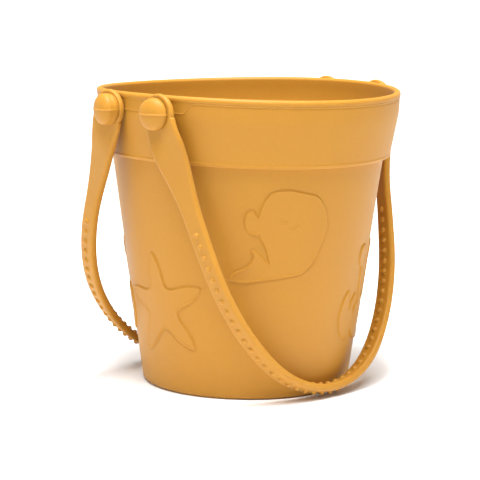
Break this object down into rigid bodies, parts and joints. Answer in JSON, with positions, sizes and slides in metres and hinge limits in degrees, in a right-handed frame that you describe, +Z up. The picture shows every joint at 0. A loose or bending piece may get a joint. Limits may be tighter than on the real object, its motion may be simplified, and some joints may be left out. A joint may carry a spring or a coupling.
{
  "type": "sand bucket",
  "caption": "Soft silicone sand bucket with a tapered tub, a wide rim collar and loop handles that button onto studs and swing up to meet over the opening.",
  "frame": {"origin": "middle of the flat underside of the tub", "axes": "+Z up through the opening; the button studs are on the +X and -X sides; handle_front hangs on the -Y side and handle_back on the +Y side"},
  "size_m": [0.1968, 0.176, 0.1736],
  "materials": {
    "tub": "matte silicone",
    "strap": "matte silicone"
  },
  "bodies": {
    "tub": {"bucket": "tub"},
    "front_handle": {"handle_front": "strap"},
    "back_handle": {"handle_back": "strap"}
  },
  "joints": [
    {"name": "front_handle_swing", "type": "hinge", "parent": "tub", "child": "front_handle", "pos_m": [0, -0.0202, 0.1626], "axis": [-1, 0, 0], "range_deg": [0, 168]},
    {"name": "back_handle_swing", "type": "hinge", "parent": "tub", "child": "back_handle", "pos_m": [0, 0.0202, 0.1626], "axis": [1, 0, 0], "range_deg": [0, 166.8]}
  ]
}
